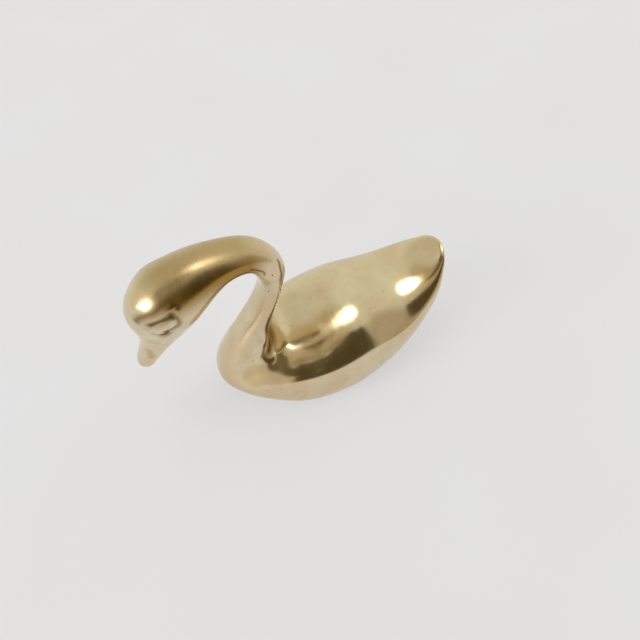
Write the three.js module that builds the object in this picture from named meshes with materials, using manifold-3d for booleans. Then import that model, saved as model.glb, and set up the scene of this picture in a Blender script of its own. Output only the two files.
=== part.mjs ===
// Brass swan figurine: a hollow cast body, a solid cast neck with its head and beak,
// and the screw and washer inside the body that hold the neck on.
// Millimetres, +Z up, the swan faces -Y and its left side is +X. The origin is at the
// bottom of the foot, in the middle of the whole figurine.
import * as THREE from 'three';
import { mergeVertices } from 'three/addons/utils/BufferGeometryUtils.js';
import Module from 'manifold-3d';

const wasm = await Module();
wasm.setup();

// Driving sizes of the body. Forward places are measured from its widest part, and the
// rounded keel would reach keelDrop below the table if it weren't ground flat.
const backHeight = 20.1;
const bodyBreadth = 36.8;
const keelDrop = 4.6;
const breastReach = 33.2;
const breastHeight = 4.7;
const tailReach = 32.6;
const tailRise = 7.8;
const tailThickness = 2.9;
const tailBreadth = 6.7;
const wall = 2.5;

// The notch where the back of the neck rises out of the body
const notchReach = 17.9;
const notchHeight = 14.2;

// Driving sizes of the neck, the head and the beak
const archHeight = 48.3;
const archReach = 26.1;
const neckDepth = 7.1;
const neckBreadth = 8.3;
const neckLean = 6.5;
const headLength = 21.9;
const headDepth = 16.1;
const headBreadth = 13.8;
const beakLength = 9.4;
const beakDepth = 7.1;
const beakBreadth = 5.7;
const beakTip = 4.3;

// The cast eyes: long, high, how far they stand out of the head, their slope, and the angle
// round the head's section, from its back, at which they lie
const eyeLength = 6;
const eyeHeight = 3;
const eyeThickness = 2;
const eyeRelief = 0.3;
const eyeSlope = 25;
const eyeAngle = 75;

// The oval opening in the foot, which the casting core was held through: its middle lies a
// little forward, and its sides are straight up to a height where the hollow is wider
const openingLength = 27;
const openingBreadth = 26;
const openingForward = 4.5;
const openingHeight = 6;

// The joint at the foot of the neck: a round peg on the neck, a socket in the body, and
// a screw from inside the body along the same axis, which leans forward
const jointLean = 34;
const jointRise = 3.4;
const pegInset = 5.5;
const pegDiameter = 7;
const pegLength = 4;
const socketFloor = 3;
const screwDiameter = 3;
const screwGrip = 6;
const screwHeadDiameter = 5.5;
const screwHeadHeight = 2.2;
const slotWidth = 0.8;
const slotDepth = 1;
const washerDiameter = 7;
const washerThickness = 0.5;
const clearance = 0.3;

// Steps of the surfaces
const skinSteps = 84;
const skinSides = 36;
const coreSteps = 30;
const coreSides = 28;
const roundSides = 32;

// Where a section is thin, what lies under the skin keeps this share of its size
const thinnest = 0.4;

// The ends of a form are rounded over this share of its length
const skinRounding = 0.02;
const coreRounding = 0.12;

// Cutting blocks are larger than the figurine, and cuts run past the faces that they open
const beyond = 200;
const overrun = 1;
const degree = Math.PI / 180;

// The lines of the casting, as a boat's lines are drawn: the back line, the keel line under
// it and the half breadth at each station. A station's belt is the share of its depth, up
// from the keel, where it is widest. Its squareness is 2 on an ellipse and more on a
// section with flatter sides.
function station(back, keel, half, belt = 0.5, backSquare = 2.2, keelSquare = 2.2) {
  return { back, keel, half, belt, backSquare, keelSquare };
}

// A station of the neck or head, whose keel lies a depth away from its back at an angle
function ringStation(back, depth, angle, half, backSquare, keelSquare) {
  const keel = [back[0] + depth * Math.cos(angle * degree), back[1] + depth * Math.sin(angle * degree)];
  return station(back, keel, half, 0.5, backSquare, keelSquare);
}

function bodyStations() {
  const half = bodyBreadth / 2;
  const rimHeight = backHeight + tailRise;
  const shoulder = backHeight - notchHeight;
  return [
    station([-tailReach, rimHeight], [0.6 - tailReach, rimHeight - tailThickness],
      tailBreadth / 2, 0.66, 2.1, 2),
    station([-0.81 * tailReach, backHeight + 0.39 * tailRise], [-0.945 * tailReach, 0.85 * backHeight],
      0.51 * half, 0.6, 2.1, 2.1),
    station([-0.555 * tailReach, backHeight + 0.3], [-0.725 * tailReach, 0.355 * backHeight],
      0.74 * half, 0.58, 2, 2.4),
    station([-0.36 * tailReach, backHeight], [-0.46 * tailReach, 0.2], 0.88 * half, 0.52, 2.2, 2.6),
    station([-0.145 * tailReach, backHeight + 0.1], [-0.13 * tailReach, -keelDrop],
      0.975 * half, 0.47, 2.4, 2.7),
    station([0.23 * notchReach, notchHeight + 0.63 * shoulder], [0.12 * breastReach, -keelDrop],
      half, 0.44, 2.4, 2.8),
    station([0.54 * notchReach, notchHeight + 0.33 * shoulder], [0.44 * breastReach, -0.97 * keelDrop],
      0.935 * half, 0.42, 2.5, 2.7),
    station([0.82 * notchReach, notchHeight + 0.15 * shoulder], [0.71 * breastReach, -0.08 * keelDrop],
      0.81 * half, 0.43, 2.5, 2.6),
    station([notchReach, notchHeight], [0.91 * breastReach, 0.44 * breastHeight],
      0.62 * half, 0.44, 2.6, 2.4),
    station([notchReach + 0.2, notchHeight + 2.6], [breastReach, breastHeight],
      0.39 * half, 0.47, 2.7, 2.2),
  ];
}

function neckStations() {
  const rise = archHeight - notchHeight;
  const rearmost = notchReach - neckLean;
  const forehead = archReach + headLength;
  const root = [forehead - 1.3, archHeight - 1.25 * headDepth];
  return [
    ringStation([notchReach - 2.1, notchHeight + 0.256 * rise], 1.95 * neckDepth, -32,
      0.58 * neckBreadth, 2.7, 2.1),
    ringStation([notchReach - 0.68 * neckLean, notchHeight + 0.46 * rise], 1.09 * neckDepth, -31,
      0.54 * neckBreadth, 2.7, 2.1),
    ringStation([rearmost, notchHeight + 0.665 * rise], neckDepth, -31, 0.49 * neckBreadth, 2.7, 2.2),
    ringStation([rearmost + 0.2, notchHeight + 0.78 * rise], 1.04 * neckDepth, -30,
      0.54 * neckBreadth, 2.6, 2.4),
    ringStation([rearmost + 5.5, notchHeight + 0.955 * rise], 0.9 * neckDepth, -62,
      0.555 * neckBreadth, 2.3, 2.3),
    ringStation([archReach, archHeight], 0.48 * headDepth, -100, 0.41 * headBreadth, 2.1, 2.1),
    ringStation([archReach + 0.43 * headLength, archHeight - 1], 0.81 * headDepth, -115,
      0.555 * headBreadth, 2, 2),
    ringStation([archReach + 0.84 * headLength, archHeight - 0.31 * headDepth], headDepth, -141,
      0.58 * headBreadth, 2, 2.1),
    ringStation([forehead, archHeight - 0.72 * headDepth], 0.92 * headDepth, -149,
      0.43 * headBreadth, 2.1, 2.1),
    ringStation(root, beakDepth, -129, beakBreadth / 2, 2.2, 2.2),
    ringStation([root[0] + 0.435 * beakLength, root[1] - 0.89 * beakLength], 0.59 * beakDepth, -134,
      beakTip / 2, 2.2, 2.1),
  ];
}

// Places along the lines are shares of the way from the tail rim to the tip of the beak.
// The core runs from behind the tail's thin part to the breast, and the eyes lie just in
// front of the head's deepest station.
const bodyLines = bodyStations();
const stations = [...bodyLines, ...neckStations()];
const lastStation = stations.length - 1;
const breastPlace = (bodyLines.length - 1) / lastStation;
const coreStart = 2.2 / lastStation;
const eyePlace = (bodyLines.length + 7.05) / lastStation;

function line(pick) {
  return new THREE.SplineCurve(stations.map((each) => new THREE.Vector2(...pick(each))));
}

const backLine = line((each) => each.back);
const keelLine = line((each) => each.keel);
const breadthLine = line((each) => [each.half, each.belt]);
const squareLine = line((each) => [each.backSquare, each.keelSquare]);

// A point of the surface that lies an inset under the skin, at a place along the lines and
// at an angle round the section from its back. A swell under 1 draws the section in.
function skinPoint(place, angle, swell = 1, inset = 0) {
  const back = backLine.getPoint(place);
  const keel = keelLine.getPoint(place);
  const [half, belt] = breadthLine.getPoint(place).toArray();
  const [backSquare, keelSquare] = squareLine.getPoint(place).toArray();
  const depth = back.distanceTo(keel);
  const inward = back.clone().sub(keel).setLength(Math.min(inset, thinnest * depth));
  back.sub(inward);
  keel.add(inward);
  const power = 2 / (Math.cos(angle) > 0 ? backSquare : keelSquare);
  const rise = Math.sign(Math.cos(angle)) * Math.abs(Math.cos(angle)) ** power * swell;
  const across = Math.sign(Math.sin(angle)) * Math.abs(Math.sin(angle)) ** power * swell;
  const share = belt + rise * (rise > 0 ? 1 - belt : belt);
  const spot = keel.lerp(back, share);
  return new THREE.Vector3(across * Math.max(half - inset, thinnest * half), -spot.x, spot.y);
}

// A closed form along the lines, a sphere drawn out between two places. Its ends are
// rounded over a short share of its length, where its steps lie closer together.
function form(from, to, steps, sides, rounding, inset = 0) {
  const geometry = new THREE.SphereGeometry(1, sides, steps);
  const position = geometry.getAttribute('position');
  for (let row = 0; row <= steps; row += 1) {
    const even = row / steps;
    const share = even - 0.6 * Math.sin(2 * Math.PI * even) / (2 * Math.PI);
    const fromEnd = Math.min(share, 1 - share, rounding) / rounding;
    const swell = Math.sqrt(1 - (1 - fromEnd) ** 2);
    for (let side = 0; side <= sides; side += 1) {
      const angle = 2 * Math.PI * (side % sides) / sides;
      const point = skinPoint(from + share * (to - from), angle, swell, inset);
      position.setXYZ(row * (sides + 1) + side, point.x, point.y, point.z);
    }
  }
  return geometry;
}

function solid(geometry) {
  const bare = geometry.clone();
  bare.deleteAttribute('normal');
  bare.deleteAttribute('uv');
  const merged = mergeVertices(bare, 1e-4);
  return new wasm.Manifold(new wasm.Mesh({
    numProp: 3,
    vertProperties: new Float32Array(merged.getAttribute('position').array),
    triVerts: new Uint32Array(merged.getIndex().array),
  }));
}

function geometryOf(body) {
  const { vertProperties, triVerts } = body.getMesh();
  const geometry = new THREE.BufferGeometry();
  geometry.setAttribute('position', new THREE.BufferAttribute(new Float32Array(vertProperties), 3));
  geometry.setIndex(new THREE.BufferAttribute(new Uint32Array(triVerts), 1));
  geometry.computeVertexNormals();
  return geometry;
}

// The joint's own frame: its origin is on the axis at the face of the body, and its Z runs
// along the axis, up into the neck
const jointDirection = new THREE.Vector3(0, -Math.sin(jointLean * degree), Math.cos(jointLean * degree));
const jointPoint = new THREE.Vector3(
  0,
  -(notchReach + jointRise * Math.sin(jointLean * degree) + pegInset * Math.cos(jointLean * degree)),
  notchHeight + jointRise * Math.cos(jointLean * degree) - pegInset * Math.sin(jointLean * degree),
);
const jointFrame = new THREE.Matrix4().compose(
  jointPoint,
  new THREE.Quaternion().setFromUnitVectors(new THREE.Vector3(0, 0, 1), jointDirection),
  new THREE.Vector3(1, 1, 1),
);

// A cylinder on the joint's axis between two heights
function onAxis(diameter, low, high) {
  const geometry = new THREE.CylinderGeometry(diameter / 2, diameter / 2, high - low, roundSides);
  geometry.rotateX(Math.PI / 2);
  geometry.translate(0, 0, (low + high) / 2);
  return geometry.applyMatrix4(jointFrame);
}

// All that lies above a height on the joint's axis, square to it
function above(height) {
  const geometry = new THREE.BoxGeometry(beyond, beyond, beyond);
  geometry.translate(0, 0, height + beyond / 2);
  return solid(geometry.applyMatrix4(jointFrame));
}

// Heights on the joint's axis
const socketDepth = pegLength + clearance;
const seatHeight = -socketDepth - socketFloor;
const washerTop = seatHeight - clearance;
const headTop = washerTop - washerThickness - clearance;
const screwEnd = screwGrip - socketDepth;
const holeDiameter = screwDiameter + 2 * clearance;

function skin() {
  return solid(form(0, 1, skinSteps, skinSides, skinRounding));
}

function table() {
  const geometry = new THREE.BoxGeometry(beyond, beyond, beyond);
  geometry.translate(0, 0, -beyond / 2);
  return solid(geometry);
}

// The hollow inside the body, a wall under its skin, with its end cut square to the joint's
// axis as a seat for the washer
function core() {
  const hollow = solid(form(coreStart, breastPlace, coreSteps, coreSides, coreRounding, wall));
  const opening = new THREE.CylinderGeometry(0.5, 0.5, openingHeight + overrun, roundSides);
  opening.rotateX(Math.PI / 2);
  opening.scale(openingBreadth, openingLength, 1);
  opening.translate(0, -openingForward, (openingHeight - overrun) / 2);
  return hollow.subtract(above(seatHeight)).add(solid(opening));
}

function bodyShell() {
  const outside = skin().subtract(table()).subtract(above(0));
  const socket = solid(onAxis(pegDiameter + 2 * clearance, -socketDepth, overrun));
  const hole = solid(onAxis(holeDiameter, seatHeight - overrun, overrun));
  return geometryOf(outside.subtract(core()).subtract(socket).subtract(hole));
}

function eye(side) {
  const geometry = new THREE.SphereGeometry(1, 16, 10);
  geometry.scale(eyeThickness / 2, eyeLength / 2, eyeHeight / 2);
  geometry.rotateX(eyeSlope * degree);
  const seat = skinPoint(eyePlace, eyeAngle * degree);
  const inset = eyeThickness / 2 - eyeRelief;
  geometry.translate(side * (seat.x - inset), seat.y, seat.z);
  return solid(geometry);
}

function neckAndHead() {
  const outside = skin().intersect(above(clearance)).add(eye(1)).add(eye(-1));
  const peg = solid(onAxis(pegDiameter, -pegLength, clearance + overrun));
  const thread = solid(onAxis(holeDiameter, -beyond, screwEnd + overrun));
  return geometryOf(outside.add(peg).subtract(thread));
}

function neckScrew() {
  const head = solid(onAxis(screwHeadDiameter, headTop - screwHeadHeight, headTop));
  const shank = solid(onAxis(screwDiameter, headTop - screwHeadHeight / 2, screwEnd));
  const slot = new THREE.BoxGeometry(2 * screwHeadDiameter, slotWidth, 2 * slotDepth);
  slot.translate(0, 0, headTop - screwHeadHeight);
  return geometryOf(head.add(shank).subtract(solid(slot.applyMatrix4(jointFrame))));
}

function screwWasher() {
  const ring = solid(onAxis(washerDiameter, washerTop - washerThickness, washerTop));
  const hole = solid(onAxis(holeDiameter, washerTop - washerThickness - overrun, washerTop + overrun));
  return geometryOf(ring.subtract(hole));
}

const castBrass = { color: 0xc2ad80, roughness: 0.22, metalness: 1 };
const turnedBrass = { color: 0xc9ab62, roughness: 0.3, metalness: 1 };
const pieces = {
  body_shell: [bodyShell(), castBrass],
  neck_and_head: [neckAndHead(), castBrass],
  neck_screw: [neckScrew(), turnedBrass],
  screw_washer: [screwWasher(), turnedBrass],
};

const swan = new THREE.Group();
for (const [name, [geometry, finish]] of Object.entries(pieces)) {
  const mesh = new THREE.Mesh(geometry, new THREE.MeshStandardMaterial(finish));
  mesh.name = name;
  swan.add(mesh);
}

// The origin goes to the middle of the whole figurine
const extent = new THREE.Box3().setFromObject(swan);
swan.position.y = -(extent.min.y + extent.max.y) / 2;

export default swan;
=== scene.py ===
# Brass swan figurine, as it looks: a buffed sand casting in two pieces, body and neck, with the
# screw and washer that hold them together inside. Metres, +Z up, the swan faces -Y and its left
# side is +X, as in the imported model.
from math import acos, atan2, cos, exp, pi, radians, sin, sqrt

import bmesh
import bpy
from mathutils import Matrix, Vector, kdtree, noise


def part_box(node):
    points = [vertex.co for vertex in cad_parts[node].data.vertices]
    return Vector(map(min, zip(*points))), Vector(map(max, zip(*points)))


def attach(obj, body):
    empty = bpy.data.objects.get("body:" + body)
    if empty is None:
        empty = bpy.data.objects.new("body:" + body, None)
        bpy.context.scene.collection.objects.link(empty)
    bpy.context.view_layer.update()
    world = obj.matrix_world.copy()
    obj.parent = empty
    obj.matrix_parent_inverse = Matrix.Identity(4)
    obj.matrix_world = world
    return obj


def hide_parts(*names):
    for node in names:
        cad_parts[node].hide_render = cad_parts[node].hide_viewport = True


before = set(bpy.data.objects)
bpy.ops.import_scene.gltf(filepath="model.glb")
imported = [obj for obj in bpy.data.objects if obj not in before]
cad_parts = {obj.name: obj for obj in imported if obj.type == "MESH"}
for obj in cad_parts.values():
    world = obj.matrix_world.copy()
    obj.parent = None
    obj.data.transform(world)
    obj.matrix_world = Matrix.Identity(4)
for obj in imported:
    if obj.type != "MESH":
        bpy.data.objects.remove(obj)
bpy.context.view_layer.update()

mm = 0.001

# The lines of the casting, in millimetres. Forward places are measured from its widest part,
# and the keel would reach keel_drop below the table if it weren't ground flat.
back_height = 20.1
body_breadth = 36.8
keel_drop = 4.6
breast_reach = 33.2
breast_height = 4.7
tail_reach = 32.6
tail_rise = 7.8
tail_thickness = 2.9
tail_breadth = 6.7
wall = 2.5
notch_reach = 17.9
notch_height = 14.2
arch_height = 48.3
arch_reach = 26.1
neck_depth = 7.1
neck_breadth = 8.3
neck_lean = 6.5
head_length = 21.9
head_depth = 16.1
head_breadth = 13.8
beak_length = 9.4
beak_depth = 7.1
beak_breadth = 5.7
beak_tip = 4.3

# The joint at the foot of the neck, in millimetres, and the hollow under the body
joint_lean = radians(34)
joint_rise = 3.4
peg_inset = 5.5
peg_diameter = 7
peg_length = 4
socket_floor = 3
screw_diameter = 3
screw_grip = 6
screw_head_diameter = 5.5
screw_head_height = 2.2
slot_width = 0.8
slot_depth = 1
washer_diameter = 7
washer_thickness = 0.5
clearance = 0.3
seam = 0.02
opening_length = 27
opening_breadth = 26
opening_forward = 4.5
opening_height = 6

# The rows and sides of the skin are about a quarter of a millimetre apart on the head and
# four tenths on the body
skin_rows = 560
skin_sides = 192
core_rows = 60
core_sides = 64
opening_sides = 96
round_sides = 64

# The rows of a form stand closer at its ends by this share
end_crowding = 0.6

# The lines are averaged over points this share of their length apart
fairing = 0.014

# Where a section is thin, what lies under the skin keeps this share of its size
thinnest = 0.4

# The ends of a form are rounded over this share of its length
skin_rounding = 0.02
core_rounding = 0.12

# Solids that cut or join another run this many millimetres past the face where they meet
overrun = 1

# Edges where the surface turns more than this are crisp
crisp_angle = radians(32)

# The tail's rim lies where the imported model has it
rim_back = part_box("body_shell")[1].y / mm - tail_reach


# Lines

def station(back, keel, half, belt=0.5, back_square=2.2, keel_square=2.2):
    """A station of the lines: its back, its keel and its half breadth. Its belt is the share of
    its depth, up from the keel, where it is widest. Its squareness is 2 on an ellipse and more
    on a section with flatter sides."""
    return Vector((*back, *keel, half, belt, back_square, keel_square))


def ring_station(back, depth, angle, half, back_square=2.2, keel_square=2.2):
    """A station of the neck or head, whose keel lies a depth away from its back"""
    keel = (back[0] + depth * cos(radians(angle)), back[1] + depth * sin(radians(angle)))
    return station(back, keel, half, 0.5, back_square, keel_square)


def body_stations():
    """From the tail's rim to the breast"""
    half = body_breadth / 2
    rim_height = back_height + tail_rise
    shoulder = back_height - notch_height
    return [
        station((-tail_reach, rim_height), (0.6 - tail_reach, rim_height - tail_thickness),
                tail_breadth / 2, 0.66, 2.1, 2),
        station((-0.81 * tail_reach, back_height + 0.39 * tail_rise),
                (-0.945 * tail_reach, 0.85 * back_height), 0.51 * half, 0.6, 2.1, 2.1),
        station((-0.555 * tail_reach, back_height + 0.3),
                (-0.725 * tail_reach, 0.355 * back_height), 0.74 * half, 0.58, 2, 2.4),
        station((-0.36 * tail_reach, back_height), (-0.46 * tail_reach, 0.2),
                0.88 * half, 0.52, 2.2, 2.6),
        station((-0.145 * tail_reach, back_height + 0.1), (-0.13 * tail_reach, -keel_drop),
                0.975 * half, 0.47, 2.4, 2.7),
        station((0.23 * notch_reach, notch_height + 0.63 * shoulder),
                (0.12 * breast_reach, -keel_drop), half, 0.44, 2.4, 2.8),
        station((0.54 * notch_reach, notch_height + 0.33 * shoulder),
                (0.44 * breast_reach, -0.97 * keel_drop), 0.935 * half, 0.42, 2.5, 2.7),
        station((0.82 * notch_reach, notch_height + 0.15 * shoulder),
                (0.71 * breast_reach, -0.08 * keel_drop), 0.81 * half, 0.43, 2.5, 2.6),
        station((notch_reach, notch_height), (0.91 * breast_reach, 0.44 * breast_height),
                0.62 * half, 0.44, 2.6, 2.4),
        station((notch_reach + 0.2, notch_height + 2.6), (breast_reach, breast_height),
                0.39 * half, 0.47, 2.7, 2.2),
    ]


def neck_stations():
    """From the foot of the neck over its arch and the head to the beak's tip"""
    rise = arch_height - notch_height
    rearmost = notch_reach - neck_lean
    forehead = arch_reach + head_length
    root = (forehead - 1.3, arch_height - 1.25 * head_depth)
    return [
        ring_station((notch_reach - 2.1, notch_height + 0.256 * rise), 1.95 * neck_depth, -32,
                     0.58 * neck_breadth, 2.7, 2.1),
        ring_station((notch_reach - 0.68 * neck_lean, notch_height + 0.46 * rise),
                     1.09 * neck_depth, -31, 0.54 * neck_breadth, 2.7, 2.1),
        ring_station((rearmost, notch_height + 0.665 * rise), neck_depth, -31,
                     0.49 * neck_breadth, 2.7, 2.2),
        ring_station((rearmost + 0.2, notch_height + 0.78 * rise), 1.04 * neck_depth, -30,
                     0.54 * neck_breadth, 2.6, 2.4),
        ring_station((rearmost + 5.5, notch_height + 0.955 * rise), 0.9 * neck_depth, -62,
                     0.555 * neck_breadth, 2.3, 2.3),
        ring_station((arch_reach, arch_height), 0.48 * head_depth, -100,
                     0.41 * head_breadth, 2.1, 2.1),
        ring_station((arch_reach + 0.43 * head_length, arch_height - 1),
                     0.81 * head_depth, -115, 0.555 * head_breadth, 2, 2),
        ring_station((arch_reach + 0.84 * head_length, arch_height - 0.31 * head_depth),
                     head_depth, -141, 0.58 * head_breadth, 2, 2.1),
        ring_station((forehead, arch_height - 0.72 * head_depth), 0.92 * head_depth, -149,
                     0.43 * head_breadth, 2.1, 2.1),
        ring_station(root, beak_depth, -129, beak_breadth / 2, 2.2, 2.2),
        ring_station((root[0] + 0.435 * beak_length, root[1] - 0.89 * beak_length),
                     0.59 * beak_depth, -134, beak_tip / 2, 2.2, 2.1),
    ]


body_lines = body_stations()
stations = body_lines + neck_stations()
last_station = len(stations) - 1
breast_place = (len(body_lines) - 1) / last_station
core_start = 2.2 / last_station


def curved(points, along):
    """A point of the smooth curve through some points. At 1.5, it is halfway from the second
    point to the third."""
    last = len(points) - 1
    first = min(int(along), last - 1)
    t = along - first
    a, b, c, d = (points[min(max(first + k, 0), last)] for k in (-1, 0, 1, 2))
    bend = 2 * a - 5 * b + 4 * c - d
    twist = 3 * b - a - 3 * c + d
    return b + 0.5 * (t * (c - a) + t * t * bend + t ** 3 * twist)


def on_lines(place):
    """The lines at a share of the way from the tail's rim to the beak's tip"""
    return curved(stations, min(max(place, 0), 1) * last_station)


def faired(place):
    """The lines averaged over a short reach, so that reflections run through the stations
    without a kink"""
    reach = min(fairing, place / 2, (1 - place) / 2)
    total = Vector.Fill(8, 0)
    for step, weight in zip((-2, -1, 0, 1, 2), (1, 4, 6, 4, 1)):
        total += weight / 16 * on_lines(place + step * reach)
    return total


def skin_point(lines, angle, swell=1, inset=0):
    """A point of the surface an inset under the skin, at an angle round the section from its
    back. A swell under 1 draws the section in."""
    back, keel = Vector(lines[0:2]), Vector(lines[2:4])
    half, belt, back_square, keel_square = lines[4:8]
    inward = (back - keel).normalized() * min(inset, thinnest * (back - keel).length)
    back -= inward
    keel += inward
    up = cos(angle)
    power = 2 / (back_square if up > 0 else keel_square)
    rise = abs(up) ** power * swell * (1 if up > 0 else -1)
    across = abs(sin(angle)) ** power * swell * (1 if sin(angle) > 0 else -1)
    share = belt + rise * ((1 - belt) if rise > 0 else belt)
    spot = keel.lerp(back, share)
    return Vector((across * max(half - inset, thinnest * half), rim_back - spot.x, spot.y)) * mm


# Solids

def drawn_form(start, end, rows, sides, rounding, inset=0, spread=lambda share: share):
    """A sphere drawn out along the lines between two places, with its faces outward"""
    form = bmesh.new()
    bmesh.ops.create_uvsphere(form, u_segments=sides, v_segments=rows, radius=1)
    cache = {}
    for vert in form.verts:
        even = acos(min(max(vert.co.z, -1), 1)) / pi
        row = round(even * rows)
        if row not in cache:
            even = row / rows
            share = spread(even - end_crowding * sin(2 * pi * even) / (2 * pi))
            from_end = min(share, 1 - share, rounding) / rounding
            cache[row] = faired(start + share * (end - start)), sqrt(1 - (1 - from_end) ** 2)
        lines, swell = cache[row]
        vert.co = skin_point(lines, atan2(vert.co.x, vert.co.y), swell, inset)
    bmesh.ops.recalc_face_normals(form, faces=form.faces)
    if form.calc_volume(signed=True) < 0:
        bmesh.ops.reverse_faces(form, faces=form.faces)
    return form


def keep_below(form, point, normal):
    """Cuts a closed form with a plane, keeps the side behind it and closes the cut"""
    bmesh.ops.bisect_plane(form, geom=form.verts[:] + form.edges[:] + form.faces[:],
                           plane_co=point, plane_no=normal, clear_outer=True)
    rim = [edge for edge in form.edges if edge.is_boundary]
    cap = bmesh.ops.edgeloop_fill(form, edges=rim)["faces"]
    for edge in rim:
        edge.smooth = False
    return cap


joint_direction = Vector((0, -sin(joint_lean), cos(joint_lean)))
joint_forward = notch_reach + joint_rise * sin(joint_lean) + peg_inset * cos(joint_lean)
joint_height = notch_height + joint_rise * cos(joint_lean) - peg_inset * sin(joint_lean)
joint_point = Vector((0, rim_back - joint_forward, joint_height)) * mm
joint_frame = Matrix.Translation(joint_point) @ Vector((0, 0, 1)).rotation_difference(
    joint_direction).to_matrix().to_4x4()

socket_depth = peg_length + clearance
seat_height = -socket_depth - socket_floor
washer_top = seat_height - clearance
head_top = washer_top - washer_thickness - clearance
screw_end = screw_grip - socket_depth
hole_diameter = screw_diameter + 2 * clearance


def on_axis(height):
    """A point of the joint's axis, a height in millimetres above the face of the body"""
    return joint_point + joint_direction * height * mm


def add_round(form, diameter, low, high):
    """A cylinder on the joint's axis between two heights, in millimetres"""
    place = joint_frame @ Matrix.Translation((0, 0, (low + high) / 2 * mm))
    radius = diameter / 2 * mm
    bmesh.ops.create_cone(form, cap_ends=True, segments=round_sides, radius1=radius,
                          radius2=radius, depth=(high - low) * mm, matrix=place)


def as_object(form, name, *materials):
    """Makes a form an object and frees it"""
    mesh = bpy.data.meshes.new(name)
    form.to_mesh(mesh)
    form.free()
    for material in materials:
        mesh.materials.append(material)
    thing = bpy.data.objects.new(name, mesh)
    bpy.context.scene.collection.objects.link(thing)
    return thing


def joined(thing, *others):
    """Cuts the other solids away from a piece, or adds them to it, and removes them"""
    for operation, other in others:
        modifier = thing.modifiers.new(operation.lower(), "BOOLEAN")
        modifier.operation = operation
        modifier.object = other
        modifier.solver = "MANIFOLD"
        modifier.material_mode = "TRANSFER"
    graph = bpy.context.evaluated_depsgraph_get()
    mesh = bpy.data.meshes.new_from_object(thing.evaluated_get(graph))
    mesh.name = thing.name
    thing.modifiers.clear()
    thing.data = mesh
    for _, other in others:
        bpy.data.objects.remove(other)
    return thing


# Materials

def linear(colour):
    """An sRGB hex colour as linear light"""
    channels = [int(colour[k:k + 2], 16) / 255 for k in (0, 2, 4)]
    return [c / 12.92 if c <= 0.04045 else ((c + 0.055) / 1.055) ** 2.4 for c in channels] + [1]


def node(tree, kind, inputs=None, **settings):
    """Adds a node with its settings, its constants and its links"""
    made = tree.nodes.new(kind)
    for name, value in settings.items():
        setattr(made, name, value)
    for name, value in (inputs or {}).items():
        if isinstance(value, bpy.types.NodeSocket):
            tree.links.new(value, made.inputs[name])
        else:
            made.inputs[name].default_value = value
    return made


def finish(name, metallic=0):
    """A plain material, its node tree and its shader"""
    material = bpy.data.materials.new(name)
    material.use_nodes = True
    tree = material.node_tree
    shader = tree.nodes["Principled BSDF"]
    shader.inputs["Metallic"].default_value = metallic
    return material, tree, shader


def in_millimetres(tree):
    """The place on the figurine, in millimetres"""
    place = node(tree, "ShaderNodeTexCoord").outputs["Object"]
    return node(tree, "ShaderNodeVectorMath", {0: place, "Scale": 1 / mm},
                operation="SCALE").outputs["Vector"]


def grain(tree, place, size, stretch=(1, 1, 1), detail=2):
    """Noise with features of a size in millimetres, drawn out where the stretch is over 1"""
    scale = [1 / (size * along) for along in stretch]
    place = node(tree, "ShaderNodeMapping", {"Vector": place, "Scale": scale}).outputs["Vector"]
    return node(tree, "ShaderNodeTexNoise",
                {"Vector": place, "Scale": 1, "Detail": detail}).outputs[0]


def spread(tree, value, low, high, to_low=0, to_high=1):
    """Spreads a range of a value over another one, and clamps it there"""
    return node(tree, "ShaderNodeMapRange",
                {"Value": value, "From Min": low, "From Max": high, "To Min": to_low,
                 "To Max": to_high}).outputs["Result"]


def calculated(tree, operation, first, second=0):
    """A value worked out from one or two others"""
    return node(tree, "ShaderNodeMath", {0: first, 1: second}, operation=operation).outputs[0]


def blend(tree, share, first, second):
    """A mix of two colours, from the first to the second as the share grows"""
    return node(tree, "ShaderNodeMix", {0: share, 6: first, 7: second},
                data_type="RGBA").outputs[2]


def bumped(tree, height, distance, normal=None):
    """A relief, whose height of 1 is a distance in millimetres, over another one"""
    made = node(tree, "ShaderNodeBump", {"Height": height, "Distance": distance * mm})
    if normal:
        tree.links.new(normal, made.inputs["Normal"])
    return made.outputs["Normal"]


def pits(tree, place, spacing, size, share):
    """1 in the small round pits that sand leaves in a casting, which lie about a spacing apart"""
    place = node(tree, "ShaderNodeMapping",
                 {"Vector": place, "Scale": [1 / spacing] * 3}).outputs["Vector"]
    cells = node(tree, "ShaderNodeTexVoronoi", {"Vector": place, "Scale": 1})
    draw = node(tree, "ShaderNodeSeparateColor", {"Color": cells.outputs["Color"]})
    pitted = calculated(tree, "LESS_THAN", draw.outputs[0], share)
    radius = spread(tree, draw.outputs[1], 0, 1, 0.5 * size / spacing, size / spacing)
    away = calculated(tree, "DIVIDE", cells.outputs["Distance"], radius)
    return calculated(tree, "MULTIPLY", pitted, spread(tree, away, 0.6, 1, 1, 0))


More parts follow.
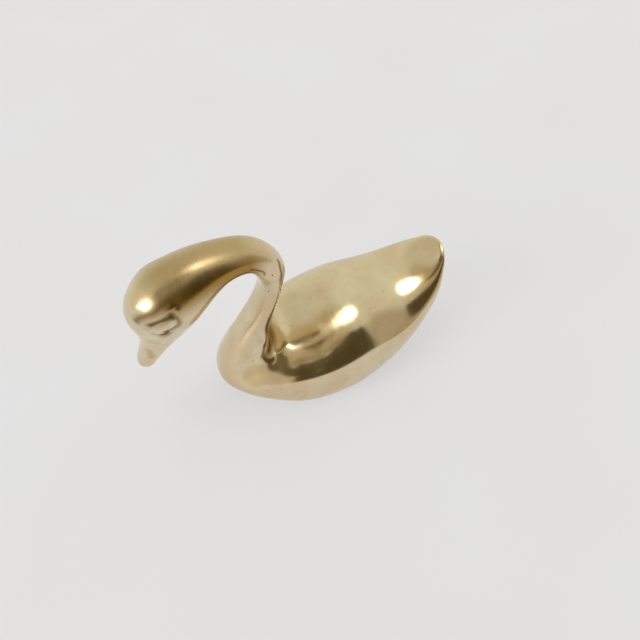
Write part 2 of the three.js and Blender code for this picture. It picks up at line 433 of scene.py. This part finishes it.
def buffed_brass():
    """Sand-cast brass, filed and buffed by hand on a mop: bright, a little uneven in colour and
    gloss, with fine marks of the mop round the body, a few sand pits and brown tarnish where
    the mop doesn't reach, and painted shade that browns the crown, the side of the head, the
    notch and a band above the eye, for the darker reflections there. The marks are drawn half a
    millimetre wide, about five times as wide as real ones, so that they show."""
    material, tree, shader = finish("sand_cast_buffed_brass", metallic=1)
    place = in_millimetres(tree)
    clouds = grain(tree, place, size=9, detail=3)
    stains = grain(tree, place, size=2.2, detail=4)
    mop_marks = grain(tree, place, size=0.5, stretch=(18, 1, 18), detail=3)
    smears = grain(tree, place, size=1.6, stretch=(4, 1, 4))
    sand_pits = pits(tree, place, spacing=3, size=0.24, share=0.5)
    pores = pits(tree, place, spacing=1.1, size=0.09, share=0.4)
    # Patina in the relief's grooves and pits, and painted shade in a band above the eye
    patina_and_painted_shade = node(tree, "ShaderNodeAttribute", attribute_name="patina_and_painted_shade").outputs["Fac"]
    # A browner, duller film, which on the crown, the side of the head and in the notch is painted
    # shade
    film = node(tree, "ShaderNodeAttribute", attribute_name="film").outputs["Fac"]

    colour = blend(tree, spread(tree, clouds, 0.36, 0.64), linear("E1D2B1"), linear("DAC5A1"))
    colour = blend(tree, spread(tree, stains, 0.6, 0.85, 0, 0.35), colour, linear("B8955A"))
    # Painted shade browns the crown, the side of the head and the notch; elsewhere the film is
    # real dullness and a stain
    colour = blend(tree, spread(tree, film, 0.15, 1), colour, linear("A6823C"))
    # Brown patina in the grooves, and the painted shade band above the eye
    colour = blend(tree, spread(tree, patina_and_painted_shade, 0, 1, 0, 0.92), colour, linear("6E5220"))
    holes = calculated(tree, "MAXIMUM", sand_pits, pores)
    colour = blend(tree, calculated(tree, "MULTIPLY", holes, 0.8), colour, linear("5E4520"))
    tree.links.new(colour, shader.inputs["Base Color"])

    gloss = spread(tree, smears, 0.3, 0.7, 0.11, 0.17)
    gloss = calculated(tree, "ADD", gloss, spread(tree, stains, 0.55, 0.85, 0, 0.08))
    gloss = calculated(tree, "ADD", gloss, spread(tree, patina_and_painted_shade, 0, 1, 0, 0.3))
    gloss = calculated(tree, "ADD", gloss, spread(tree, film, 0, 0.3, 0, 0.15))
    tree.links.new(calculated(tree, "ADD", gloss, calculated(tree, "MULTIPLY", holes, 0.3)),
                   shader.inputs["Roughness"])

    normal = bumped(tree, mop_marks, distance=0.0022)
    normal = bumped(tree, smears, distance=0.006, normal=normal)
    sunken = calculated(tree, "MULTIPLY", holes, -1)
    normal = bumped(tree, sunken, distance=0.09, normal=normal)
    tree.links.new(normal, shader.inputs["Normal"])
    return material


def cast_brass():
    """Brass as it leaves the sand, inside the hollow: matt, grainy and brown. The sand's grain
    is drawn twice as coarse as moulding sand, so that it shows."""
    material, tree, shader = finish("as_cast_brass", metallic=1)
    place = in_millimetres(tree)
    sand = grain(tree, place, size=0.6, detail=4)
    scale = grain(tree, place, size=5, detail=3)
    colour = blend(tree, spread(tree, scale, 0.35, 0.65), linear("A48C58"), linear("7C6338"))
    colour = blend(tree, spread(tree, sand, 0.5, 0.8, 0, 0.6), colour, linear("5B4626"))
    tree.links.new(colour, shader.inputs["Base Color"])
    tree.links.new(spread(tree, sand, 0.3, 0.7, 0.5, 0.72), shader.inputs["Roughness"])
    normal = bumped(tree, scale, distance=0.3)
    normal = bumped(tree, sand, distance=0.12, normal=normal)
    tree.links.new(normal, shader.inputs["Normal"])
    return material


def ground_brass():
    """The foot, rubbed flat on a belt: straight scratches along the body. They are drawn about
    three times as wide as a coarse belt leaves them, so that they show."""
    material, tree, shader = finish("belt_ground_brass", metallic=1)
    place = in_millimetres(tree)
    scratches = grain(tree, place, size=0.35, stretch=(1, 40, 1), detail=4)
    smudges = grain(tree, place, size=6, detail=3)
    colour = blend(tree, spread(tree, smudges, 0.35, 0.7), linear("DCC38C"), linear("B2945C"))
    tree.links.new(colour, shader.inputs["Base Color"])
    tree.links.new(spread(tree, scratches, 0.3, 0.7, 0.28, 0.48), shader.inputs["Roughness"])
    tree.links.new(bumped(tree, scratches, distance=0.012), shader.inputs["Normal"])
    return material


def turned_brass():
    """Machined brass: fine rings round the joint's axis, where the tool went round, about a
    fifth of a millimetre apart"""
    material, tree, shader = finish("turned_unpolished_brass", metallic=1)
    place = in_millimetres(tree)
    from_joint = node(tree, "ShaderNodeVectorMath", {0: place, 1: joint_point / mm},
                      operation="SUBTRACT").outputs["Vector"]
    height = node(tree, "ShaderNodeVectorMath", {0: from_joint, 1: joint_direction},
                  operation="DOT_PRODUCT").outputs["Value"]
    on_line = node(tree, "ShaderNodeVectorMath", {0: joint_direction, "Scale": height},
                   operation="SCALE").outputs["Vector"]
    off_line = node(tree, "ShaderNodeVectorMath", {0: from_joint, 1: on_line},
                    operation="SUBTRACT").outputs["Vector"]
    radius = node(tree, "ShaderNodeVectorMath", {0: off_line},
                  operation="LENGTH").outputs["Value"]
    rings = node(tree, "ShaderNodeTexNoise",
                 {"W": calculated(tree, "ADD", radius, height), "Scale": 1 / 0.2, "Detail": 2},
                 noise_dimensions="1D").outputs[0]
    film = grain(tree, place, size=1.5, detail=3)
    colour = blend(tree, spread(tree, film, 0.4, 0.7), linear("D9BE7C"), linear("C0A061"))
    tree.links.new(colour, shader.inputs["Base Color"])
    tree.links.new(spread(tree, film, 0.3, 0.7, 0.24, 0.38), shader.inputs["Roughness"])
    tree.links.new(bumped(tree, rings, distance=0.01), shader.inputs["Normal"])
    return material


buffed = buffed_brass()
rough = cast_brass()
ground = ground_brass()
turned = turned_brass()


# Camera

# It looks down on the swan's left side, from about one and two thirds of its length away
camera_target = Vector((1.25, rim_back - 2.92, 12.6)) * mm
camera_distance = 136.3 * mm
camera_elevation = radians(53.84)
camera_azimuth = radians(68.7)
camera_roll = radians(-1.79)
camera_focal_pixels = 500
picture_width = 640
sensor_width = 36


def toward(azimuth, elevation):
    """A direction: the azimuth turns from the swan's front to its left side"""
    return Vector((cos(elevation) * sin(azimuth), -cos(elevation) * cos(azimuth), sin(elevation)))


def add_camera():
    """The camera, turned about its view so that the swan lies as level as it is photographed"""
    data = bpy.data.cameras.new("camera")
    data.sensor_width = sensor_width
    data.lens = sensor_width * camera_focal_pixels / picture_width
    data.clip_start = 0.01
    data.clip_end = 20
    outward = toward(camera_azimuth, camera_elevation)
    right = Vector((0, 0, 1)).cross(outward).normalized()
    up = outward.cross(right)
    turned_right = right * cos(camera_roll) + up * sin(camera_roll)
    turned_up = up * cos(camera_roll) - right * sin(camera_roll)
    axes = Matrix((turned_right, turned_up, outward)).transposed().to_4x4()
    thing = bpy.data.objects.new("camera", data)
    thing.matrix_world = Matrix.Translation(camera_target + outward * camera_distance) @ axes
    bpy.context.scene.collection.objects.link(thing)
    bpy.context.scene.camera = thing


add_camera()


# Relief cut into the pattern before it was cast

# A groove of this depth is brown at its bottom
brown_depth = 0.4

# Past this many times its width, a stroke has no effect
stroke_reach = 3


class Stroke:
    """A ridge or groove along a curve through points in millimetres, with its width and its
    height. A width above is the one on the side to the right of the curve, and the shade is how
    brown its bottom is."""

    def __init__(self, width, height, *points, above=None, shade=None):
        self.width = width
        self.above = above or width
        self.height = height
        self.shade = min(max(-height / brown_depth, 0), 1) if shade is None else shade
        self.path = smooth_path([Vector(point).to_3d() for point in points])
        self.tree = kdtree.KDTree(len(self.path))
        for k, point in enumerate(self.path):
            self.tree.insert(point, k)
        self.tree.balance()

    def at(self, spot):
        """Its height and its shade at a spot"""
        nearest, k, away = self.tree.find(spot)
        width = self.width
        if self.above != width:
            run = self.path[min(k + 1, len(self.path) - 1)] - self.path[max(k - 1, 0)]
            if run.cross(spot - nearest).z < 0:
                width = self.above
        share = exp(-(away / width) ** 2) if away < stroke_reach * width else 0
        return self.height * share, self.shade * share


def smooth_path(points, steps=12):
    """A curve through a few points, as close points"""
    return [curved(points, k / steps) for k in range((len(points) - 1) * steps + 1)]


def relief_of(strokes, spot):
    """The height of some strokes together at a spot, and the darkest shade"""
    heights, shades = zip(*(stroke.at(spot) for stroke in strokes))
    return sum(heights), max(shades)


# The eye's strokes lie in its own plane: forward along the head and up, from its middle
eye_middle = Vector((7.5, rim_back - 40.3, 38.4))
eye_forward = Vector((-0.245, -0.875, -0.418)).normalized()
eye_outward = Vector((0.965, -0.26, -0.021)).normalized()
eye_upward = eye_forward.cross(eye_outward).normalized()
eye_reach = 13
eye_depth = 4.5

brow = Stroke(0.4, 0.26, (4, 2), (2.7, 2.4), (1.2, 2.5), (-0.6, 2.5), (-1.9, 2.6), (-3.2, 2.8),
              (-4.2, 2.7), above=0.7)
# A band of painted shade above the brow, with no relief, for the dark reflection the head shows
# there
painted_shade_above_brow = Stroke(0.75, 0, (4.4, 3.2), (3, 3.7), (1.2, 3.8), (-1, 3.8), (-3, 4.1), (-5, 4.2),
                shade=0.85)
socket_edge = Stroke(0.6, 0.14, (-5, 1.6), (-4.9, 0.8), (-4.6, -0.2), (-3.7, -1.3), (-1.9, -2.7))
under_brow = Stroke(0.9, -0.36, (2.2, 1.5), (0.8, 1.5), (-0.7, 1.4), (-2, 1.4), (-3, 1.4),
                    shade=1)
socket_groove = Stroke(0.56, -0.28, (-3.2, 1.6), (-3.6, 0.2), (-3, -1.3), (-1.8, -1.9),
                       (-0.4, -2.1), (1.2, -2.3), shade=0.75)
corner_pit = Stroke(0.75, -0.34, (1.2, -2.7), (2.1, -3.1), (2.9, -3), shade=1)
corner_line = Stroke(0.3, -0.16, (4, -1.1), (3.5, -2.1))
front_line = Stroke(0.26, -0.1, (4, 1.1), (3.9, 0.1))
cheek_edge = Stroke(0.6, 0.2, (0.6, -3.4), (2.3, -4), (4.6, -5.3), (6.4, -6.5))
beak_edge = Stroke(0.4, 0.16, (8.6, -2.7), (7.4, -3.8), (6.9, -6), (7, -8))
eye_strokes = (brow, painted_shade_above_brow, socket_edge, under_brow, socket_groove, corner_pit, corner_line,
               front_line, cheek_edge, beak_edge)
eyeball_middle = Vector((0.2, -0.2))
eyeball_length = 2.7
eyeball_height = 1.5
eyeball_rise = 0.34
eyeball_roundness = 1.5
eyeball_shade = 0.5


def eye_relief(point):
    """How far the eye's relief stands out of the head at a point, and how brown it is there"""
    local = point - eye_middle
    if local.length > eye_reach or abs(local.dot(eye_outward)) > eye_depth:
        return 0, 0
    spot = Vector((local.dot(eye_forward), local.dot(eye_upward), 0))
    height, shade = relief_of(eye_strokes, spot)
    away = Vector(((spot.x - eyeball_middle.x) / eyeball_length,
                   (spot.y - eyeball_middle.y) / eyeball_height)).length
    if away < 1:
        height += eyeball_rise * (1 - away * away) ** eyeball_roundness
        shade *= eyeball_shade
    return height, shade


def on_casting(left, forward, height):
    """A place of the casting: left of its middle, forward of its widest part, and up"""
    return left, rim_back - forward, height


def cast_stroke(width, height, *places, shade=None):
    """A stroke through places of the casting"""
    return Stroke(width, height, *(on_casting(*place) for place in places), shade=shade)


notch_bottom = ((0, 17.4, 14.3), (2, 17.4, 14.3), (4.4, 18.2, 14.3), (6.1, 19.6, 14.3))
neck_corner = cast_stroke(0.3, -0.26, (2.6, 12.9, 42), (3.8, 12.7, 40), (4, 12.8, 36.8),
                          (4, 13.9, 31.2), (3.9, 16.6, 23.3), (4.5, 18.3, 19.6),
                          (5.6, 20.1, 16.6), (6.8, 21.4, 14.2), shade=0.9)
notch_pit = cast_stroke(1.15, -0.15, *notch_bottom, shade=0.5)
notch_lip = cast_stroke(1.5, 0.28, (0, 14.6, 15), (3, 14.5, 14.9), (5.8, 14.8, 14.6),
                        (7.6, 16.4, 13.8))
neck_foot = cast_stroke(2.4, 0.7, (5.4, 20.4, 17), (6, 20.8, 15.6), (6.8, 20.8, 14.6))
arch_groove = cast_stroke(0.28, -0.24, (4.75, 19.3, 43.7), (4.6, 17.7, 42.4),
                          (4.6, 16.8, 41.4), (4.5, 16.8, 40.6), shade=0.85)
tail_edge = cast_stroke(0.8, 0.1, (0, -31.5, 26.9), (2, -31.1, 26.5), (3.4, -30.6, 25.9))
forehead_swell = cast_stroke(3.2, 0.42, (5.7, 41.1, 42), (5.6, 40.6, 42.6))
casting_strokes = (neck_corner, notch_pit, notch_lip, neck_foot, arch_groove, tail_edge,
                   forehead_swell)

# Where the metal is browner and duller than elsewhere. On the crown, the side of the head and the
# # floor of the notch the brown is painted shade, for the darker reflections there; on the neck it
# # is a duller film and on the beak a stain.
crown_painted_shade = cast_stroke(6.5, 0, (0, 22, 46.5), (0, 29, 47), (0, 36.5, 45.5), shade=0.68)
head_painted_shade = cast_stroke(3.2, 0, (4.4, 20, 44.5), (5.4, 26, 45), (6.2, 32, 44.2),
                        (6.3, 36.5, 43), shade=1)
notch_painted_shade = cast_stroke(1.4, 0, *notch_bottom, shade=1)
neck_film = cast_stroke(4, 0, (4, 27, 8), (3.5, 23.5, 18), (4, 20, 26), (4, 17, 34), shade=0.25)
beak_film = cast_stroke(1.1, 0, (2.6, 46.1, 25.7), (2.5, 46.3, 23.1), shade=0.5)
film_and_painted_shade_strokes = (crown_painted_shade, head_painted_shade, notch_painted_shade, neck_film, beak_film)

# The end of the notch, where file and mop round the corner between neck and body, and how far
# and how often they go over it
notch_end = (6.4, 20.6, 15.2)
notch_reaches = (6, 5.2, 4.4, 3.6)
notch_passes = 30
crease_end = (6.3, 19.8, 14.4)
crease_reaches = (3.2, 2.6, 2)
crease_passes = 14

# Filing and buffing leave the skin a little wavy
wave_length = 7
wave_height = 0.035


def relief(point):
    """The height of the relief in millimetres, its brown shade and its film at a point of the
    casting, both partly painted shade. All but the waves are alike on both sides."""
    place = Vector((abs(point.x), point.y, point.z)) / mm
    height, shade = relief_of(casting_strokes, place)
    on_eye = eye_relief(place)
    waves = wave_height * noise.noise(point / mm / wave_length)
    return height + on_eye[0] + waves, max(shade, on_eye[1]), relief_of(film_and_painted_shade_strokes, place)[1]


# Pieces

# Pairs of a share of the rows, from the tail on, and the share of the lines that they cover
row_knots = ((0, 0), (0.33, 0.45), (0.58, 0.72), (1, 1))


def head_rows(share):
    """Gives the head and neck more rows than their share of the lines"""
    for (a, b), (c, d) in zip(row_knots, row_knots[1:]):
        if share <= c:
            return b + (share - a) / (c - a) * (d - b)


def eased(form, place, reaches, passes):
    """Smooths the skin round a place of the casting, most in the middle"""
    for side in (-1, 1):
        middle = Vector(on_casting(*place)) * mm
        middle.x *= side
        for reach in reaches:
            near = [vert for vert in form.verts if (vert.co - middle).length < reach * mm]
            for _ in range(passes):
                bmesh.ops.smooth_vert(form, verts=near, factor=0.5, use_axis_x=True,
                                      use_axis_y=True, use_axis_z=True)


def skin_form():
    """The outside of the whole casting, with its relief"""
    form = drawn_form(0, 1, skin_rows, skin_sides, skin_rounding, spread=head_rows)
    eased(form, notch_end, notch_reaches, notch_passes)
    # Patina in the relief's grooves and pits, and painted shade in a band above the eye
    patina_and_painted_shade = form.verts.layers.float.new("patina_and_painted_shade")
    # A browner, duller film, which on the crown, the side of the head and in the notch is painted
    # shade
    film = form.verts.layers.float.new("film")
    form.normal_update()
    moves = [(vert, vert.normal.copy(), *relief(vert.co)) for vert in form.verts]
    for vert, normal, height, shade, film_and_painted_shade in moves:
        vert.co += normal * height * mm
        vert[patina_and_painted_shade] = shade
        vert[film] = film_and_painted_shade
    eased(form, crease_end, crease_reaches, crease_passes)
    return form


def body_shell(skin):
    """The breast, body and tail, ground flat below and hollow"""
    form = skin.copy()
    keep_below(form, on_axis(0), joint_direction)
    for face in keep_below(form, (0, 0, 0), (0, 0, -1)):
        face.material_index = 1
    piece = as_object(form, "body_casting", buffed, ground, rough)
    core = drawn_form(core_start, breast_place, core_rows, core_sides, core_rounding, wall)
    keep_below(core, on_axis(seat_height), joint_direction)
    opening = bmesh.new()
    middle = Vector((0, rim_back - opening_forward, (opening_height - overrun) / 2))
    place = Matrix.Translation(middle * mm)
    place = place @ Matrix.Diagonal((opening_breadth, opening_length, 1, 1))
    bmesh.ops.create_cone(opening, cap_ends=True, segments=opening_sides, radius1=0.5 * mm,
                          radius2=0.5 * mm, depth=(opening_height + overrun) * mm, matrix=place)
    socket = bmesh.new()
    add_round(socket, peg_diameter + 2 * clearance, -socket_depth, overrun)
    hole = bmesh.new()
    add_round(hole, hole_diameter, seat_height - overrun, overrun)
    return joined(piece, ("DIFFERENCE", as_object(core, "core", rough)),
                  ("DIFFERENCE", as_object(opening, "opening", rough)),
                  ("DIFFERENCE", as_object(socket, "socket", turned)),
                  ("DIFFERENCE", as_object(hole, "hole", turned)))


def neck_and_head(skin):
    """The neck and head, with the peg that sits in the body's socket"""
    form = skin.copy()
    keep_below(form, on_axis(seam), -joint_direction)
    piece = as_object(form, "neck_casting", buffed)
    peg = bmesh.new()
    add_round(peg, peg_diameter, -peg_length, overrun)
    thread = bmesh.new()
    add_round(thread, hole_diameter, -peg_length - overrun, screw_end + overrun)
    return joined(piece, ("UNION", as_object(peg, "peg", turned)),
                  ("DIFFERENCE", as_object(thread, "thread", turned)))


def neck_screw():
    """A cheese-head screw, with its slotted head down and back inside the body"""
    form = bmesh.new()
    add_round(form, screw_head_diameter, head_top - screw_head_height, head_top)
    shank = bmesh.new()
    add_round(shank, screw_diameter, head_top - screw_head_height / 2, screw_end)
    slot = bmesh.new()
    place = joint_frame @ Matrix.Translation(Vector((0, 0, head_top - screw_head_height)) * mm)
    place = place @ Matrix.Diagonal((2 * screw_head_diameter * mm, slot_width * mm,
                                     2 * slot_depth * mm, 1))
    bmesh.ops.create_cube(slot, size=1, matrix=place)
    piece = as_object(form, "slotted_screw", turned)
    return joined(piece, ("UNION", as_object(shank, "shank", turned)),
                  ("DIFFERENCE", as_object(slot, "slot", turned)))


def screw_washer():
    """A flat washer under the screw's head"""
    form = bmesh.new()
    add_round(form, washer_diameter, washer_top - washer_thickness, washer_top)
    hole = bmesh.new()
    add_round(hole, hole_diameter, washer_top - washer_thickness - overrun,
              washer_top + overrun)
    piece = as_object(form, "flat_washer", turned)
    return joined(piece, ("DIFFERENCE", as_object(hole, "hole", turned)))


def smooth_shaded(piece):
    """Shades a piece smooth, but for its crisp edges"""
    for polygon in piece.data.polygons:
        polygon.use_smooth = True
    form = bmesh.new()
    form.from_mesh(piece.data)
    for edge in form.edges:
        if len(edge.link_faces) == 2 and edge.calc_face_angle(0) > crisp_angle:
            edge.smooth = False
    form.to_mesh(piece.data)
    form.free()


skin = skin_form()
for piece, node_name, slot_name in (
        (body_shell(skin), "body_shell", "cast_brass"),
        (neck_and_head(skin), "neck_and_head", "cast_brass"),
        (neck_screw(), "neck_screw", "turned_brass"),
        (screw_washer(), "screw_washer", "turned_brass")):
    smooth_shaded(piece)
    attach(piece, "root")
    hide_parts(node_name)
skin.free()


# Table, room and light

table_radius = 3
table_colour = "DEDFE5"
table_cloud_colour = "DADADC"
table_darkening = 0.55
table_glow = 0.72
room_colour = "E1E1E1"
room_cool = (0.8, 0.8, 0.7)
room_warm = (0.62, 0.565, 0.45)
cool_side = toward(radians(-100), radians(25))

# The room's light turns from warm to cool between these cosines of the angle to its cool side
cool_start = -0.3
cool_end = 0.8

# What stands in the room, as the metal shows it: its azimuths and elevations in degrees, its
# light, how soft its edges are, and how far its edges fall per degree of azimuth. Later ones
# stand in front.
room_parts = {
    "curtain": ((-78, -30), (18, 56), (0.68, 0.67, 0.57), 8, 0),
    "wall": ((112, 170), (-2, 66), (0.5, 0.44, 0.33), 8, 0),
    "low_wall": ((20, 64), (-40, 10), (0.72, 0.67, 0.58), 12, 0),
    "upper_wall": ((-70, 70), (56, 78), (0.52, 0.43, 0.28), 8, 0),
    "shelf": ((4, 90), (33, 56), (0.14, 0.11, 0.055), 4, 0.5),
    "shelf_end": ((-4, 40), (44, 61), (0.15, 0.12, 0.06), 5, 0),
    "shade": ((70, 113), (1, 72), (0.09, 0.071, 0.031), 3, 0),
    "shade_top": ((64, 80), (42, 72), (0.11, 0.09, 0.045), 3, 0),
    "cupboard": ((49, 63), (55, 70), (0.38, 0.31, 0.2), 4, 0),
    "window": ((-8, 24), (7, 38), (4.4, 4.3, 3.9), 1.8, 0),
}
lamp_azimuth = -66
lamp_elevation = 79.5
lamp_radius = 9.5
lamp_edge = 2.5
lamp_light = (3.4, 3.4, 3.1)


def table_top():
    """Pale matt paper, a little brighter to the camera and in the metal than the room lights it"""
    material, tree, shader = finish("pale_paper")
    place = in_millimetres(tree)
    clouds = grain(tree, place, size=60)
    colour = blend(tree, clouds, linear(table_colour), linear(table_cloud_colour))
    darkened = blend(tree, table_darkening, colour, linear("000000"))
    tree.links.new(darkened, shader.inputs["Base Color"])
    tree.links.new(colour, shader.inputs["Emission Color"])
    rays = node(tree, "ShaderNodeLightPath").outputs
    seen = calculated(tree, "MAXIMUM", rays["Is Camera Ray"], rays["Is Glossy Ray"])
    seen = calculated(tree, "MAXIMUM", seen, rays["Is Transmission Ray"])
    glow = calculated(tree, "MULTIPLY", seen, table_glow)
    tree.links.new(glow, shader.inputs["Emission Strength"])
    shader.inputs["Roughness"].default_value = 0.8
    shader.inputs["Specular IOR Level"].default_value = 0.1
    return material


def add_floor():
    """The table, a disc of paper"""
    form = bmesh.new()
    bmesh.ops.create_circle(form, cap_ends=True, segments=round_sides, radius=table_radius)
    as_object(form, "floor", table_top())


def soft_step(tree, value, start, end):
    """0 on the near side of the start and 1 past the end, with a smooth change between them"""
    return node(tree, "ShaderNodeMapRange", {"Value": value, "From Min": start, "From Max": end},
                interpolation_type="SMOOTHSTEP").outputs["Result"]


def soft_band(tree, value, limits, edge):
    """1 between two limits and 0 outside them, with soft edges"""
    low, high = limits
    rise = soft_step(tree, value, low - edge, low + edge)
    fall = soft_step(tree, value, high + edge, high - edge)
    return calculated(tree, "MULTIPLY", rise, fall)


def cosine(tree, direction, other):
    """The cosine of the angle between two directions"""
    return node(tree, "ShaderNodeVectorMath", {0: direction, 1: other},
                operation="DOT_PRODUCT").outputs["Value"]


def add_world():
    """A pale room round the table: cool and light behind the swan's right side, warm and dim on
    its left, with a window in front and a lamp above"""
    world = bpy.data.worlds.new("pale_room")
    world.use_nodes = True
    bpy.context.scene.world = world
    tree = world.node_tree
    direction = node(tree, "ShaderNodeTexCoord").outputs["Generated"]
    axes = node(tree, "ShaderNodeSeparateXYZ", {0: direction}).outputs
    forward = calculated(tree, "MULTIPLY", axes[1], -1)
    azimuth = calculated(tree, "DEGREES", calculated(tree, "ARCTAN2", axes[0], forward))
    elevation = calculated(tree, "DEGREES", calculated(tree, "ARCSINE", axes[2]))
    coolness = spread(tree, cosine(tree, direction, cool_side), cool_start, cool_end)
    light = blend(tree, coolness, (*room_warm, 1), (*room_cool, 1))
    for azimuths, elevations, strength, edge, fall in room_parts.values():
        off_middle = calculated(tree, "SUBTRACT", azimuth, sum(azimuths) / 2)
        fallen = calculated(tree, "MULTIPLY", off_middle, fall)
        height = calculated(tree, "ADD", elevation, fallen)
        inside = calculated(tree, "MULTIPLY", soft_band(tree, azimuth, azimuths, edge),
                            soft_band(tree, height, elevations, edge))
        light = blend(tree, inside, light, (*strength, 1))
    lamp_side = toward(radians(lamp_azimuth), radians(lamp_elevation))
    from_lamp = calculated(tree, "ARCCOSINE", cosine(tree, direction, lamp_side))
    from_lamp = calculated(tree, "DEGREES", from_lamp)
    in_lamp = soft_step(tree, from_lamp, lamp_radius + lamp_edge, lamp_radius - lamp_edge)
    light = blend(tree, in_lamp, light, (*lamp_light, 1))
    seen = node(tree, "ShaderNodeLightPath").outputs["Is Camera Ray"]
    light = blend(tree, seen, light, linear(room_colour))
    tree.links.new(light, tree.nodes["Background"].inputs["Color"])


add_floor()
add_world()
bpy.context.scene.view_settings.view_transform = "Standard"
